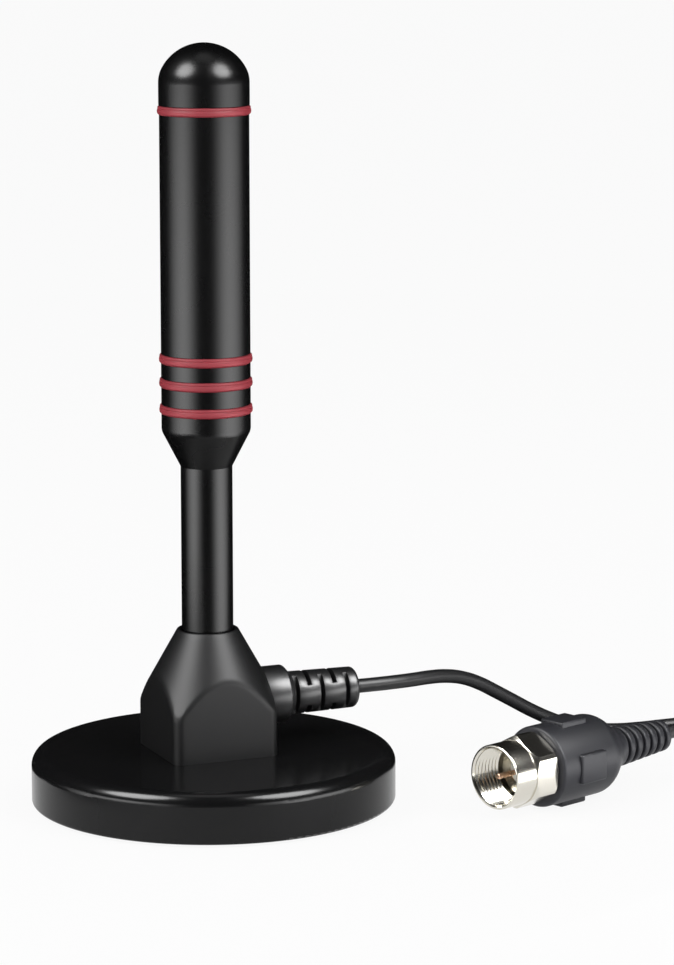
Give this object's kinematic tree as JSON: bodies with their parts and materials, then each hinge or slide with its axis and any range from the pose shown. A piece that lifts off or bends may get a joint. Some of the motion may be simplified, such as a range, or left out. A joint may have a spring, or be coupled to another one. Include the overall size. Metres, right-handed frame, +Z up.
{
  "type": "indoor television antenna",
  "caption": "Short black rod antenna with red rings on a tapered hub and a round magnetic base, with a thin coaxial lead and a screw-on plug.",
  "frame": {"origin": "middle of the rubber foot's underside, on the surface that the antenna stands on", "axes": "+Z up along the mast, +X the way the lead leaves the hub, square to one side of the hub"},
  "size_m": [0.1738, 0.0663, 0.127],
  "materials": {
    "foot_rubber": "matt black rubber sheet",
    "black_satin": "satin black moulded plastic",
    "black_gloss": "polished black moulded plastic",
    "black_lacquer": "black plastic with a soft sheen",
    "red_ring": "crimson silicone rubber",
    "cable_rubber": "soft black PVC",
    "plug_rubber": "moulded charcoal PVC",
    "nickel": "bright nickel plate",
    "steel": "plain zinc-plated steel",
    "ferrite": "dull sintered ferrite",
    "brass": "plain turned brass",
    "copper": "bright copper wire",
    "white_plastic": "natural white polyethylene"
  },
  "bodies": {
    "antenna": {"foot_pad": "foot_rubber", "bottom_cover": "black_satin", "cover_screws": "steel", "magnet_ring": "ferrite", "keeper_plate": "steel", "base_shell": "black_gloss", "hub_screws": "steel", "ground_lug": "brass", "hub_housing": "black_satin", "stem_nut": "steel", "stem_tube": "black_lacquer", "feed_terminal": "brass", "feed_rod": "copper", "feed_insulator": "white_plastic", "reducer_cone": "black_lacquer", "coil_former": "white_plastic", "radiator_coil": "copper", "antenna_tube": "black_lacquer", "lower_ring": "red_ring", "middle_ring": "red_ring", "upper_ring": "red_ring", "top_ring": "red_ring", "dome_cap": "black_lacquer", "strain_relief": "cable_rubber", "lead_end": "cable_rubber", "lead_core": "copper", "braid_tail": "steel", "signal_lead": "cable_rubber", "cable_coil": "cable_rubber", "coil_tie": "black_satin", "plug_tail": "cable_rubber", "plug_body": "plug_rubber", "plug_ferrule": "nickel", "plug_insulator": "white_plastic", "centre_pin": "copper"},
    "plug_nut": {"coupling_nut": "nickel"}
  },
  "joints": [
    {"name": "nut_spin", "type": "hinge", "parent": "antenna", "child": "plug_nut", "pos_m": [0.04239, -0.0289, 0.0072], "axis": [-0.9336, -0.3584, 0], "continuous": true}
  ]
}
